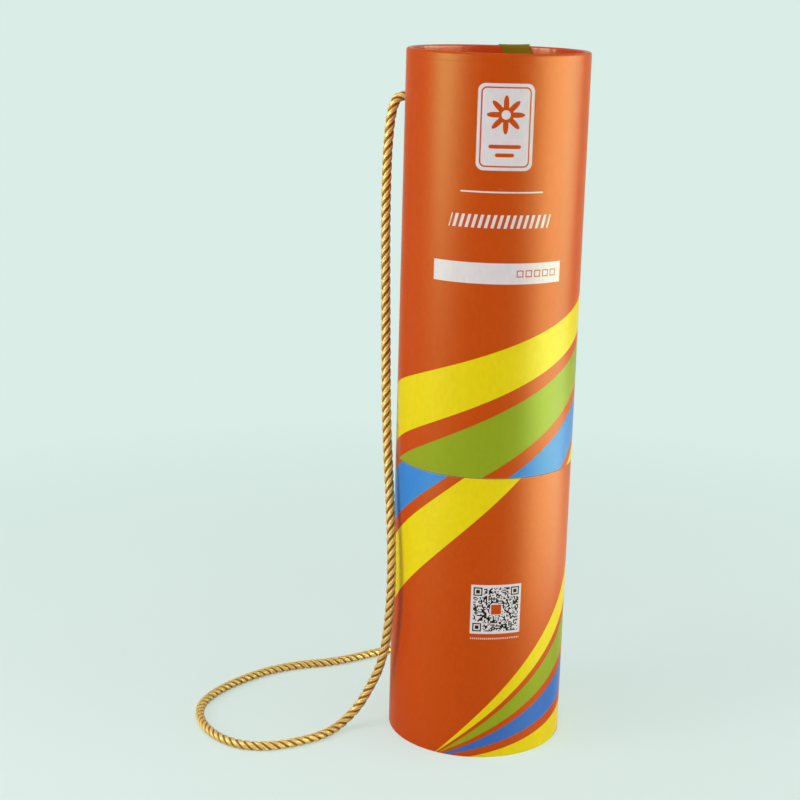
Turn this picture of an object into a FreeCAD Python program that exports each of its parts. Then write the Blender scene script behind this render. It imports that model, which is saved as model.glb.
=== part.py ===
# Round paper-tube box with a twisted rope handle.
#
# Units are millimetres, +Z is up and the origin is the centre of the foot. The box stands on its base.
# The lid and the base are wound paperboard tubes of one outside diameter that meet end to end over a
# neck tube glued in the base. The rope is knotted inside the lid at -X and inside the base at +Y.
import FreeCAD, Part
import math
import os

import Sketcher
from FreeCAD import Placement, Rotation, Vector

doc = FreeCAD.newDocument("RoundBox")

DIMENSIONS = {
    "OutsideDiameter": 100.0,   # lid and base, flush at the seam
    "BaseHeight": 165.0,        # foot to seam
    "LidHeight": 227.0,         # seam to top rim
    "LidWall": 3.0,
    "BaseWall": 3.3,            # thicker by the lid's slip clearance
    "NeckWall": 2.0,
    "NeckRise": 60.0,           # how far the neck stands above the seam
    "DiscThickness": 2.5,
    "DiscRecess": 6.0,          # how far each end disc sits in from its rim
    "TopRimOuterRound": 1.6,
    "TopRimInnerRound": 1.1,
    "SeamBevel": 0.5,           # the pressed paper edges that meet at the seam
    "FootOuterBevel": 1.0,
    "FootInnerBevel": 0.7,
    "NeckBevel": 0.7,           # lead-in for the lid
    "RopeDiameter": 5.5,
    "RopeHoleDiameter": 6.8,
    "HoleInset": 26.0,          # rope hole to the nearer end of the box
    "KnotFaceDiameter": 8.4,    # where the knot meets the wall
    "KnotDiameter": 14.0,
    "KnotShoulder": 3.0,        # length of the slope at each end of the knot
    "KnotLength": 12.0,
    "KnotTail": 6.0,
    "TabWidth": 18.0,           # paper strip folded over the top rim
    "TabThickness": 0.45,
    "TabInsideLeg": 5.0,
    "TabOutsideLeg": 12.0,
    "TabSlant": 28.0,           # degrees that the strip leans off the vertical
    "TabBearing": 11.0,         # degrees from the back (+Y) towards +X
}

# Centre line of the rope, from the knot in the lid to the knot in the base. It hangs beside the box,
# rests against its wall near the foot, lies in a loop on the floor and rises behind the box.
ROPE_HANGING = [
    (-46.7, 0.0, 366.0),
    (-53.4, 0.0, 366.0),
    (-56.5, 0.0, 360.2),
    (-58.2, -0.4, 349.0),
    (-59.1, -1.0, 328.0),
    (-58.9, -1.5, 292.0),
    (-57.4, -3.0, 240.0),
    (-55.6, -7.0, 185.0),
    (-52.1, -13.0, 142.0),
    (-49.8, -19.2, 110.0),
    (-49.9, -19.4, 82.0),
    (-51.6, -18.0, 58.0),
    (-55.5, -16.4, 38.5),
    (-60.8, -15.4, 25.0),
]
ROPE_ON_FLOOR = [
    (-66.8, -15.6, 13.3),
    (-72.8, -18.5, 6.8),
    (-79.4, -25.7, 2.75),
    (-86.0, -36.0, 2.75),
    (-98.5, -46.1, 2.75),
    (-113.0, -53.7, 2.75),
    (-128.0, -55.1, 2.75),
    (-141.7, -48.5, 2.75),
    (-152.8, -36.5, 2.75),
    (-160.3, -21.2, 2.75),
    (-162.8, -4.5, 2.75),
    (-159.0, 11.5, 2.75),
    (-150.5, 27.5, 2.75),
    (-139.5, 42.0, 2.75),
    (-126.5, 55.0, 2.75),
    (-110.0, 64.8, 2.75),
    (-91.5, 70.6, 2.75),
    (-74.5, 82.0, 2.75),
    (-56.5, 96.0, 2.75),
    (-36.0, 109.0, 2.75),
    (-21.0, 111.0, 2.75),
    (-8.0, 104.5, 2.75),
    (0.0, 92.0, 2.75),
    (1.0, 79.0, 4.5),
    (0.5, 69.5, 11.5),
    (0.0, 62.0, 20.0),
    (0.0, 54.2, 26.0),
    (0.0, 44.4, 26.0),
]

# ---------------------------------------------------------------------------------------------------
# Sheet and helpers
# ---------------------------------------------------------------------------------------------------


def make_sheet():
    sheet = doc.addObject("Spreadsheet::Sheet", "Dimensions")
    for row, (name, size) in enumerate(DIMENSIONS.items(), start=1):
        sheet.set("A%d" % row, name)
        sheet.set("B%d" % row, str(size))
        sheet.setAlias("B%d" % row, name)
    doc.recompute()
    return sheet


def bind(target, path, expression):
    """Bind a property to an expression in which $Name stands for a cell of the sheet."""
    target.setExpression(path, expression.replace("$", "Dimensions."))


def value(name):
    """A dimension as the sheet holds it."""
    return float(getattr(dimensions, name))


def origin_plane(body, role):
    return next(item for item in body.Origin.OriginFeatures if item.Role == role)


def new_body(name):
    body = doc.addObject("PartDesign::Body", name)
    body.Label = name
    return body


def new_sketch(body, name, role):
    sketch = body.newObject("Sketcher::SketchObject", name)
    sketch.AttachmentSupport = [(origin_plane(body, role), "")]
    sketch.MapMode = "FlatFace"
    return sketch


def constrain(sketch, name, kind, *where, to):
    """Add a named dimension to a sketch and bind it to the sheet."""
    sketch.addConstraint(Sketcher.Constraint(kind, *where, 1.0))
    sketch.renameConstraint(sketch.ConstraintCount - 1, name)
    bind(sketch, "Constraints." + name, to)


def add_outline(sketch, points):
    """Close an outline of straight lines, each level or upright where it is drawn so.

    Line 0 starts at the first point, and each line ends where the next one starts. The points give only
    the outline's form: its named dimensions, added afterwards, give the sizes."""
    corners = [Vector(*point) for point in points]
    for line, (here, there) in enumerate(zip(corners, corners[1:] + corners[:1])):
        sketch.addGeometry(Part.LineSegment(here, there))
        if here.y == there.y:
            sketch.addConstraint(Sketcher.Constraint("Horizontal", line))
        if here.x == there.x:
            sketch.addConstraint(Sketcher.Constraint("Vertical", line))
    for line in range(len(corners)):
        after = (line + 1) % len(corners)
        sketch.addConstraint(Sketcher.Constraint("Coincident", line, 2, after, 1))


def revolve(body, sketch):
    """Turn the sketch about its own vertical axis, which is Z."""
    turned = body.newObject("PartDesign::Revolution", body.Name + "_turned")
    turned.Profile = sketch
    turned.ReferenceAxis = (sketch, ["V_Axis"])
    turned.Angle = 360.0
    doc.recompute()


def make_ring(name, inner, outer, bottom, top):
    """A body turned from a rectangle, whose lines are 0 bottom, 1 outside, 2 top and 3 inside.

    Each side is an expression of the sheet. Inner "0" is the axis, and bottom "0" is the floor."""
    body = new_body(name)
    sketch = new_sketch(body, name + "_section", "XZ_Plane")
    add_outline(sketch, [(5, 5), (10, 5), (10, 10), (5, 10)])
    sides = {"Outer": ("DistanceX", 1, 2, outer), "Top": ("DistanceY", 2, 1, top)}
    if inner == "0":
        sketch.addConstraint(Sketcher.Constraint("PointOnObject", 0, 1, -2))
    else:
        sides["Inner"] = ("DistanceX", 0, 1, inner)
    if bottom == "0":
        sketch.addConstraint(Sketcher.Constraint("PointOnObject", 0, 1, -1))
    else:
        sides["Bottom"] = ("DistanceY", 0, 1, bottom)
    for side, (kind, line, end, expression) in sides.items():
        constrain(sketch, side, kind, -1, 1, line, end, to=expression)
    doc.recompute()
    revolve(body, sketch)
    return body


def ring_edges(shape, radius, height):
    """Names of the circular edges of a turned shape at one radius and height."""
    names = []
    for number, edge in enumerate(shape.Edges, start=1):
        curve = edge.Curve
        if isinstance(curve, Part.Circle) and abs(curve.Radius - radius) < 1e-4:
            if abs(curve.Center.z - height) < 1e-4:
                names.append("Edge%d" % number)
    return names


def finish_ring(body, kind, amount, radius, height, size):
    """Finish the body's circular edge at a radius and height. `size` is an expression of the sheet."""
    base = body.Tip
    finish = body.newObject("PartDesign::" + kind, "%s_%s" % (body.Name, kind.lower()))
    finish.Base = (base, ring_edges(base.Shape, radius, height))
    bind(finish, amount, size)
    doc.recompute()


def round_ring(body, radius, height, size):
    finish_ring(body, "Fillet", "Radius", radius, height, size)


def bevel_ring(body, radius, height, size):
    finish_ring(body, "Chamfer", "Size", radius, height, size)


def punch_hole(body, role, height):
    """Punch the rope hole through one wall of a tube, along the normal of an origin plane."""
    before = body.Shape.Volume
    sketch = new_sketch(body, body.Name + "_hole", role)
    sketch.addGeometry(Part.Circle(Vector(0, 10), Vector(0, 0, 1), 3.0))
    sketch.addConstraint(Sketcher.Constraint("PointOnObject", 0, 3, -2))
    constrain(sketch, "Height", "DistanceY", -1, 1, 0, 3, to=height)
    constrain(sketch, "Diameter", "Diameter", 0, to="$RopeHoleDiameter")
    pocket = body.newObject("PartDesign::Pocket", body.Name + "_punch")
    pocket.Profile = sketch
    bind(pocket, "Length", "$OutsideDiameter / 2")
    doc.recompute()
    if body.Shape.Volume >= before:
        raise RuntimeError(body.Label + ": the rope hole cut nothing")


# ---------------------------------------------------------------------------------------------------
# Tubes and discs
# ---------------------------------------------------------------------------------------------------


def make_base():
    outside = value("OutsideDiameter") / 2
    bore = outside - value("BaseWall")
    tube = make_ring("base_tube", "$OutsideDiameter / 2 - $BaseWall", "$OutsideDiameter / 2",
                     "0", "$BaseHeight")
    bevel_ring(tube, outside, 0.0, "$FootOuterBevel")
    bevel_ring(tube, bore, 0.0, "$FootInnerBevel")
    bevel_ring(tube, outside, value("BaseHeight"), "$SeamBevel")
    punch_hole(tube, "XZ_Plane", "$HoleInset")

    neck = make_ring("neck_tube", "$OutsideDiameter / 2 - $BaseWall - $NeckWall",
                     "$OutsideDiameter / 2 - $BaseWall",
                     "$DiscRecess + $DiscThickness", "$BaseHeight + $NeckRise")
    bevel_ring(neck, bore, value("BaseHeight") + value("NeckRise"), "$NeckBevel")
    punch_hole(neck, "XZ_Plane", "$HoleInset")

    disc = make_ring("base_end_disc", "0", "$OutsideDiameter / 2 - $BaseWall",
                     "$DiscRecess", "$DiscRecess + $DiscThickness")
    return [tube, neck, disc]


def make_lid():
    outside = value("OutsideDiameter") / 2
    bore = outside - value("LidWall")
    top = value("BaseHeight") + value("LidHeight")
    tube = make_ring("lid_tube", "$OutsideDiameter / 2 - $LidWall", "$OutsideDiameter / 2",
                     "$BaseHeight", "$BaseHeight + $LidHeight")
    round_ring(tube, outside, top, "$TopRimOuterRound")
    round_ring(tube, bore, top, "$TopRimInnerRound")
    bevel_ring(tube, outside, value("BaseHeight"), "$SeamBevel")
    punch_hole(tube, "YZ_Plane", "$BaseHeight + $LidHeight - $HoleInset")

    disc = make_ring("lid_end_disc", "0", "$OutsideDiameter / 2 - $LidWall",
                     "$BaseHeight + $LidHeight - $DiscRecess - $DiscThickness",
                     "$BaseHeight + $LidHeight - $DiscRecess")
    return [tube, disc]


# ---------------------------------------------------------------------------------------------------
# Paper strip over the top rim
# ---------------------------------------------------------------------------------------------------


def make_leg(name, near, depth, length, lean):
    """A slanted slab that cuts one leg of the strip, from y = `near` back over `depth`.

    On its way down it leans to +X where `lean` is 1, and to -X where it is -1."""
    top = doc.addObject("Part::Plane", name + "_top")
    bind(top, "Length", "$TabWidth")
    bind(top, "Width", depth)
    bind(top, "Placement.Base.x", "-$TabWidth / 2")
    bind(top, "Placement.Base.y", near)
    bind(top, "Placement.Base.z", "$BaseHeight + $LidHeight + $TabThickness")
    leg = doc.addObject("Part::Extrusion", name)
    leg.Base = top
    leg.DirMode = "Custom"
    slant = math.radians(value("TabSlant"))
    leg.Dir = Vector(lean * math.sin(slant), 0, -math.cos(slant))
    bind(leg, "LengthFwd", "(%s + $TabThickness) / cos($TabSlant * 1 deg)" % length)
    leg.Solid = True
    return leg


def make_rim_tab(lid_tube):
    """The strip is a skin round the rim, fitted to the tube itself and cut to two slanted legs."""
    outer = value("OutsideDiameter") / 2 + value("TabThickness")
    inner = outer - value("LidWall") - 2 * value("TabThickness")
    top = value("BaseHeight") + value("LidHeight") + value("TabThickness")
    skin = make_ring("TabSkin", "$OutsideDiameter / 2 - $LidWall - $TabThickness",
                     "$OutsideDiameter / 2 + $TabThickness",
                     "$BaseHeight + $LidHeight - $TabOutsideLeg - $TabThickness",
                     "$BaseHeight + $LidHeight + $TabThickness")
    round_ring(skin, outer, top, "$TopRimOuterRound + $TabThickness")
    round_ring(skin, inner, top, "$TopRimInnerRound + $TabThickness")

    wrap = doc.addObject("Part::Cut", "TabWrap")
    wrap.Base = skin
    wrap.Tool = lid_tube

    middle = "($OutsideDiameter / 2 - $LidWall * 2 / 3)"
    legs = doc.addObject("Part::Fuse", "TabLegs")
    legs.Base = make_leg("TabInside", middle + " - $LidWall", "$LidWall", "$TabInsideLeg", 1)
    legs.Tool = make_leg("TabOutside", middle, "$LidWall", "$TabOutsideLeg", -1)

    tab = doc.addObject("Part::Common", "rim_tab")
    tab.Label = "rim_tab"
    tab.Base = wrap
    tab.Tool = legs
    tab.Placement = Placement(Vector(), Rotation(Vector(0, 0, 1), -value("TabBearing")))
    doc.recompute()
    return tab


# ---------------------------------------------------------------------------------------------------
# Rope and its stop knots
# ---------------------------------------------------------------------------------------------------


def make_knot(name, at, inward):
    """A stop knot turned about its rope: a face on the wall, a barrel with sloped shoulders and a tail.

    The outline's lines are 0 face, 1 shoulder, 2 barrel, 3 shoulder, 4 step, 5 tail, 6 end and 7 axis."""
    body = new_body(name)
    sketch = new_sketch(body, name + "_section", "XZ_Plane")
    add_outline(sketch, [(0, 0), (4, 0), (7, 3), (7, 9), (4, 12), (3, 12), (3, 18), (0, 18)])
    sketch.addConstraint(Sketcher.Constraint("Coincident", 0, 1, -1, 1))
    constrain(sketch, "Face", "DistanceX", -1, 1, 0, 2, to="$KnotFaceDiameter / 2")
    constrain(sketch, "BackFace", "DistanceX", -1, 1, 3, 2, to="$KnotFaceDiameter / 2")
    constrain(sketch, "Barrel", "DistanceX", -1, 1, 1, 2, to="$KnotDiameter / 2")
    constrain(sketch, "Shoulder", "DistanceY", -1, 1, 1, 2, to="$KnotShoulder")
    constrain(sketch, "BackShoulder", "DistanceY", 2, 2, 3, 2, to="$KnotShoulder")
    constrain(sketch, "Length", "DistanceY", -1, 1, 3, 2, to="$KnotLength")
    constrain(sketch, "TailRadius", "DistanceX", -1, 1, 4, 2, to="$RopeDiameter / 2")
    constrain(sketch, "Tail", "DistanceY", 5, 1, 5, 2, to="$KnotTail")
    doc.recompute()
    revolve(body, sketch)
    body.Placement = Placement(Vector(*at), Rotation(Vector(0, 0, 1), Vector(*inward)))
    return body


def route_edges(points):
    """Straight runs joined by tangent arcs, and the radius of each arc.

    Each arc is as large as its two runs allow: it takes 0.45 of the shorter run on each side."""
    edges, radii = [], []
    start = points[0]
    for before, corner, after in zip(points, points[1:], points[2:]):
        back, ahead = (before - corner), (after - corner)
        reach = 0.45 * min(back.Length, ahead.Length)
        turn = math.pi - back.getAngle(ahead)
        radius = reach / math.tan(turn / 2)
        back.normalize()
        ahead.normalize()
        enter, leave = corner + back * reach, corner + ahead * reach
        bisector = (back + ahead).normalize()
        middle = corner + bisector * (radius / math.cos(turn / 2) - radius)
        edges.append(Part.LineSegment(start, enter).toShape())
        edges.append(Part.Arc(enter, middle, leave).toShape())
        radii.append(radius)
        start = leave
    edges.append(Part.LineSegment(start, points[-1]).toShape())
    return edges, radii


def split_run(edges, number):
    """Cut the route in two at the middle of one straight run; runs and arcs alternate in `edges`."""
    run = edges[2 * number]
    start, end = run.Vertexes[0].Point, run.Vertexes[1].Point
    middle = (start + end) / 2
    first = edges[:2 * number] + [Part.LineSegment(start, middle).toShape()]
    second = [Part.LineSegment(middle, end).toShape()] + edges[2 * number + 1:]
    return first, second


def make_rope(name, edges):
    """Sweep the rope's round section along its edges."""
    wire = Part.Wire(edges)
    route = doc.addObject("Part::Feature", name + "_route")
    route.Shape = wire
    section = doc.addObject("Part::Circle", name + "_section")
    bind(section, "Radius", "$RopeDiameter / 2")
    start = edges[0]
    tangent = start.tangentAt(start.FirstParameter)
    section.Placement = Placement(start.Vertexes[0].Point, Rotation(Vector(0, 0, 1), tangent))
    rope = doc.addObject("Part::Sweep", name)
    rope.Label = name
    rope.Sections = [section]
    rope.Spine = (route, ["Edge%d" % number for number in range(1, len(edges) + 1)])
    rope.Solid = True
    doc.recompute()
    full = math.pi * value("RopeDiameter") ** 2 / 4 * wire.Length
    print("%s: length %.1f, volume / (section x length) %.4f" % (name, wire.Length, rope.Shape.Volume / full))
    return rope


def make_handle():
    route = [Vector(*point) for point in ROPE_HANGING + ROPE_ON_FLOOR]
    edges, radii = route_edges(route)
    print("rope radii:", " ".join("%.1f" % radius for radius in radii))
    hanging, on_floor = split_run(edges, len(ROPE_HANGING) - 1)
    return [
        make_rope("rope_hanging", hanging),
        make_rope("rope_floor", on_floor),
        make_knot("lid_knot", ROPE_HANGING[0], (1, 0, 0)),
        make_knot("base_knot", ROPE_ON_FLOOR[-1], (0, -1, 0)),
    ]


# ---------------------------------------------------------------------------------------------------
# Build, check and write
# ---------------------------------------------------------------------------------------------------


def check(parts):
    doc.recompute()
    for item in doc.Objects:
        if "Invalid" in item.State or "Error" in item.State:
            raise RuntimeError("%s: %s" % (item.Name, item.State))
    for item in parts:
        if item.Shape.isNull() or not item.Shape.isValid():
            raise RuntimeError(item.Label + ": the shape is not valid")


def write(parts):
    os.makedirs("parts", exist_ok=True)
    for item in parts:
        item.Shape.exportStep("parts/%s.step" % item.Label)
        box = item.Shape.optimalBoundingBox()
        print("%-14s volume %9.1f  x %.2f..%.2f  y %.2f..%.2f  z %.2f..%.2f" % (
            item.Label, item.Shape.Volume, box.XMin, box.XMax, box.YMin, box.YMax, box.ZMin, box.ZMax))


dimensions = make_sheet()
base_parts = make_base()
lid_parts = make_lid()
parts = base_parts + lid_parts + [make_rim_tab(lid_parts[0])] + make_handle()
check(parts)
write(parts)
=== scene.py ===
"""Looks of the round paper-tube box with a twisted rope handle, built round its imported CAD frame.

Metres, +Z up, and the front is -Y. An azimuth is in degrees from the front towards +X. The print, the
tubes and the paper strip are laid out in millimetres: across is measured round the tube from the front,
and height from the floor.
"""
import math

import bmesh
import bpy
import numpy as np
from mathutils import Matrix, Vector


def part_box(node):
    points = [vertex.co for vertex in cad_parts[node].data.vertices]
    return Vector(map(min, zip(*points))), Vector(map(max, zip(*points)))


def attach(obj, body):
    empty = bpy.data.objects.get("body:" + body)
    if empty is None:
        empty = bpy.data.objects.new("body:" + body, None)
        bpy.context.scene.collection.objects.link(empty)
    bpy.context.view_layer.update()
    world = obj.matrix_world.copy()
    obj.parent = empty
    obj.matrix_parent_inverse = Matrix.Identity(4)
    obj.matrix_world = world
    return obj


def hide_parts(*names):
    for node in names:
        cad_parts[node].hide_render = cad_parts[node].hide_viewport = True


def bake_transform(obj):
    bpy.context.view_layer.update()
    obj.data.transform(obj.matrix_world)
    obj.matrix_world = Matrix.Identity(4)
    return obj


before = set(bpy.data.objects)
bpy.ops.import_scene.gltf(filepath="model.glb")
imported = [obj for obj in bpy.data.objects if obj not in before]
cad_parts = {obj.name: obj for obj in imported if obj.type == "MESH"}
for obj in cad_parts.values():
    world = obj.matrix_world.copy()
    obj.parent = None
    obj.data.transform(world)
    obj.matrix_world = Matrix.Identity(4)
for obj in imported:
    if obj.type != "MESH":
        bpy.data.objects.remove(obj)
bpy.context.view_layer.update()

MM = 0.001

# Sizes that the CAD nodes give, in millimetres.
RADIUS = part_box("lid_tube")[1].x / MM
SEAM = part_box("lid_tube")[0].z / MM
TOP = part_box("lid_tube")[1].z / MM
LID_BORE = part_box("lid_end_disc")[1].x / MM
LID_DISC_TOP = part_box("lid_end_disc")[1].z / MM
BASE_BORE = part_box("base_end_disc")[1].x / MM


def srgb(red, green, blue):
    """A colour written as on a screen, 0 to 255, as the linear colour that a shader takes."""
    def linear(level):
        level /= 255
        return level / 12.92 if level <= 0.04045 else ((level + 0.055) / 1.055) ** 2.4
    return (linear(red), linear(green), linear(blue), 1.0)


BACKGROUND = srgb(218, 237, 231)
FLOOR_PAINT = srgb(242, 253, 249)
ORANGE = srgb(203, 72, 3)
WHITE = srgb(230, 219, 222)
CHARCOAL = srgb(20, 19, 19)
YELLOW = srgb(240, 214, 10)
GREEN = srgb(150, 166, 28)
BLUE = srgb(56, 138, 214)
DEEP_BLUE = srgb(58, 108, 190)
# Pale colour of the fine scratches, and of the painted highlight along the seam.
PALE_WEAR_AND_HIGHLIGHT = srgb(222, 178, 140)
# Painted shade: the dark line in the joint between the lid and the base.
SEAM_SHADE = srgb(74, 38, 22)
LAMINATE_TINT = (0.7, 0.85, 0.42, 1.0)
SHEEN_TINT = (1.0, 0.8, 0.5, 1.0)
EDGE_RED, EDGE_ORANGE = srgb(196, 58, 4), srgb(214, 82, 12)
# The strip's green painted darker and browner, as shade and orange reflection inside the rim.
GREEN_IN_SHADE, GREEN_IN_SHADE_DARK = srgb(145, 125, 4), srgb(125, 108, 3)
CUT_DARK, CUT_PALE = srgb(176, 158, 70), srgb(200, 186, 110)
BOARD, BOARD_FLECK, BOARD_JOINT = srgb(196, 186, 168), srgb(176, 164, 144), srgb(126, 114, 96)
GOLD = srgb(208, 170, 86)
# Painted highlight on the rope's filaments.
GOLD_HIGHLIGHT = srgb(240, 218, 154)
# Painted shade in the rope's grooves.
GOLD_SHADE = srgb(162, 90, 8)

# ---------- Camera ----------

CAMERA_PLACE = (0.0, -0.9495, 0.4356)
CAMERA_YAW, CAMERA_TILT, CAMERA_ROLL = 2.92, 14.22, 1.52    # degrees: left, down, anticlockwise
CAMERA_LENS, SENSOR_WIDTH = 77.6, 36.0                      # mm


def make_camera():
    """The photograph's own view."""
    turn = (
        Matrix.Rotation(math.radians(CAMERA_YAW), 4, "Z")
        @ Matrix.Rotation(math.radians(90 - CAMERA_TILT), 4, "X")
        @ Matrix.Rotation(math.radians(CAMERA_ROLL), 4, "Z")
    )
    camera = bpy.data.objects.new("camera", bpy.data.cameras.new("camera"))
    camera.data.lens = CAMERA_LENS
    camera.data.sensor_width = SENSOR_WIDTH
    camera.matrix_world = Matrix.Translation(CAMERA_PLACE) @ turn
    bpy.context.scene.collection.objects.link(camera)
    bpy.context.scene.camera = camera


# ---------- Node trees ----------

MIX_BELOW, MIX_ABOVE, MIX_RESULT = 6, 7, 2      # sockets of a Mix node that mixes colours


class Graph:
    """Short calls that build a node tree. A value is a number, a colour or another node's output."""

    def __init__(self, tree):
        self.tree = tree
        tree.nodes.clear()

    def add(self, kind, inputs=None, **settings):
        node = self.tree.nodes.new("ShaderNode" + kind)
        for name, setting in settings.items():
            setattr(node, name, setting)
        for key, value in (inputs or {}).items():
            self.put(node.inputs[key], value)
        return node

    def put(self, socket, value):
        if isinstance(value, bpy.types.NodeSocket):
            self.tree.links.new(value, socket)
        else:
            socket.default_value = value

    def math(self, operation, *values, clamp=False):
        node = self.add("Math", dict(enumerate(values)), operation=operation, use_clamp=clamp)
        return node.outputs[0]

    def sum(self, first, *others):
        for other in others:
            first = self.math("ADD", first, other)
        return first

    def scaled(self, value, factor, offset=0.0):
        return self.math("MULTIPLY_ADD", value, factor, offset)

    def gap(self, first, second):
        """How far apart two values are."""
        return self.math("ABSOLUTE", self.math("SUBTRACT", first, second))

    def length(self, across, up):
        """Length of the line that goes `across` and `up`."""
        squares = self.math("MULTIPLY", across, across), self.math("MULTIPLY", up, up)
        return self.math("SQRT", self.sum(*squares))

    def mix(self, factor, below, above):
        node = self.add("Mix", {"Factor": factor}, data_type="RGBA")
        self.put(node.inputs[MIX_BELOW], below)
        self.put(node.inputs[MIX_ABOVE], above)
        return node.outputs[MIX_RESULT]

    def ramp(self, value, start, end, low, high):
        """`low` up to the value `start`, `high` from the value `end`, and an even slope between them."""
        return self.add("MapRange", dict(enumerate((value, start, end, low, high)))).outputs[0]

    def noise(self, scale, detail=2.0, where=None):
        inputs = {"Scale": scale, "Detail": detail}
        if where is not None:
            inputs["Vector"] = where
        return self.add("TexNoise", inputs).outputs["Fac"]

    def bump(self, height, depth):
        """A normal from a height of 0 to 1 that stands for `depth` millimetres."""
        return self.add("Bump", {"Height": height, "Distance": depth * MM}).outputs[0]

    def tube_place(self):
        """Azimuth in degrees and height in mm, from the object's own coordinates."""
        place = self.add("TexCoord").outputs["Object"]
        axes = self.add("SeparateXYZ", {0: place}).outputs
        toward_front = self.math("MULTIPLY", axes[1], -1.0)
        azimuth = self.math("DEGREES", self.math("ARCTAN2", axes[0], toward_front))
        return azimuth, self.scaled(axes[2], 1 / MM)


def new_material(name, **constants):
    """A material with a Principled shader whose constant inputs are set on its own sockets."""
    material = bpy.data.materials.new(name)
    material.use_nodes = True
    graph = Graph(material.node_tree)
    shader = graph.add("BsdfPrincipled")
    for key, value in constants.items():
        shader.inputs[key.replace("_", " ")].default_value = value
    output = graph.add("OutputMaterial")
    graph.tree.links.new(shader.outputs[0], output.inputs[0])
    return material, graph, shader


# ---------- Print ----------

# The four ribbons of the print wind once round the box. They fan out from a point at the foot and close
# again behind the lid. Each edge is straight near either end: (height in mm at the front, rise in mm per
# degree) for the first pass of the front, then for the second. A ribbon's colour is given for each pass.
RIBBONS = [
    ((YELLOW, YELLOW), ((23.7, 0.953), (259.4, 0.320)), ((19.1, 0.775), (240.1, 0.408))),
    ((GREEN, GREEN), ((16.5, 0.720), (233.2, 0.445)), ((11.9, 0.515), (210.7, 0.565))),
    ((DEEP_BLUE, BLUE), ((9.2, 0.460), (202.8, 0.588)), ((4.9, 0.265), (179.7, 0.688))),
    ((YELLOW, YELLOW), ((0.8, 0.225), (173.0, 0.727)), ((-6.0, 0.100), (143.3, 0.865))),
]
EDGE_BEND = 32.0        # degrees over which an edge turns from its first line to its second
LID_TURN = 80.0         # degrees that the lid is turned away from where its print meets the base's
INK_SOFTNESS = 0.15     # mm over which the ink ends


def ink(graph, distance):
    """1 where a distance in millimetres is above 0, and 0 where it is below."""
    return graph.math("MULTIPLY_ADD", distance, 1 / INK_SOFTNESS, 0.5, clamp=True)


def ribbon_edge(graph, along, lines):
    """Height of a ribbon's edge at a winding angle: two lines joined by a smooth bend."""
    (first_height, first_rise), (second_height, second_rise) = lines
    first = graph.scaled(along, first_rise, first_height)
    second = graph.scaled(along, second_rise, second_height - 360 * second_rise)
    bend = EDGE_BEND * abs(first_rise - second_rise)
    join = "SMOOTH_MIN" if second_rise < first_rise else "SMOOTH_MAX"
    return graph.math(join, first, second, bend)


def make_ribbon_group():
    """A node group that paints the ribbons over a ground colour, at a winding angle and a height."""
    group = bpy.data.node_groups.new("ribbons", "ShaderNodeTree")
    for name, kind in (("Ground", "Color"), ("Along", "Float"), ("Height", "Float")):
        group.interface.new_socket(name, in_out="INPUT", socket_type="NodeSocket" + kind)
    group.interface.new_socket("Printed", in_out="OUTPUT", socket_type="NodeSocketColor")
    graph = Graph(group)
    given = group.nodes.new("NodeGroupInput").outputs
    printed = given["Ground"]
    along, height = given["Along"], given["Height"]
    second_pass = graph.math("DIVIDE", along, 360.0, clamp=True)
    for (first_colour, second_colour), top, bottom in RIBBONS:
        below_top = graph.math("SUBTRACT", ribbon_edge(graph, along, top), height)
        above_bottom = graph.math("SUBTRACT", height, ribbon_edge(graph, along, bottom))
        inside = ink(graph, graph.math("MINIMUM", below_top, above_bottom))
        colour = first_colour
        if second_colour != first_colour:
            colour = graph.mix(second_pass, first_colour, second_colour)
        printed = graph.mix(inside, printed, colour)
    result = group.nodes.new("NodeGroupOutput")
    group.links.new(printed, result.inputs["Printed"])
    return group


def block(graph, across, height, middle, level, width, tall, rounding=0.0):
    """Ink mask of an upright block with rounded corners, in millimetres."""
    side = graph.sum(graph.gap(across, middle), rounding - width / 2)
    up = graph.sum(graph.gap(height, level), rounding - tall / 2)
    past = graph.length(graph.math("MAXIMUM", side, 0.0), graph.math("MAXIMUM", up, 0.0))
    within = graph.math("MINIMUM", graph.math("MAXIMUM", side, up), 0.0)
    return ink(graph, graph.math("SUBTRACT", rounding, graph.sum(past, within)))


def paint_blocks(graph, ground, across, height, blocks):
    """Blocks of print, each over the last. A block is (colour, middle, level, width, height, rounding)."""
    for colour, *shape in blocks:
        ground = graph.mix(block(graph, across, height, *shape), ground, colour)
    return ground


PANEL_MIDDLE = 5.0                      # mm to the right of the front

# The panel, two bars in it, the thin line and the white strip.
LID_BLOCKS = [
    (WHITE, PANEL_MIDDLE, 354.6, 29.9, 44.8, 4.0),
    (ORANGE, PANEL_MIDDLE, 354.6, 26.5, 41.4, 3.0),
    (WHITE, PANEL_MIDDLE, 354.6, 24.9, 39.8, 2.2),
    (ORANGE, PANEL_MIDDLE, 344.6, 17.0, 2.0, 1.0),
    (ORANGE, PANEL_MIDDLE, 340.2, 10.0, 2.0, 1.0),
    (WHITE, PANEL_MIDDLE - 0.2, 320.9, 45.0, 0.8, 0.4),
    (WHITE, PANEL_MIDDLE - 0.4, 277.9, 73.8, 11.2, 0.0),
]

# Hollow orange squares along the right end of the white strip.
SQUARE_MIDDLES = (16.0, 21.0, 26.0, 31.0, 36.0)
SQUARE_LEVEL = 277.9
SQUARE_OUTSIDE, SQUARE_INSIDE = 3.8, 2.6

# A rosette on the panel.
ROSETTE_LEVEL = 361.0
PETALS = 8.0
PETAL_MIDDLE, PETAL_WAVE = 7.0, 3.0     # how far its outline is from its middle, and waves in and out
EYE_RADIUS = 2.4

# A row of strokes: (middle, level, width, height), pitch, width of a stroke, and mm across for each mm up.
LID_STROKES = (PANEL_MIDDLE - 0.4, 305.5, 55.2, 7.0), 3.45, 1.7, 0.27


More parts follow.
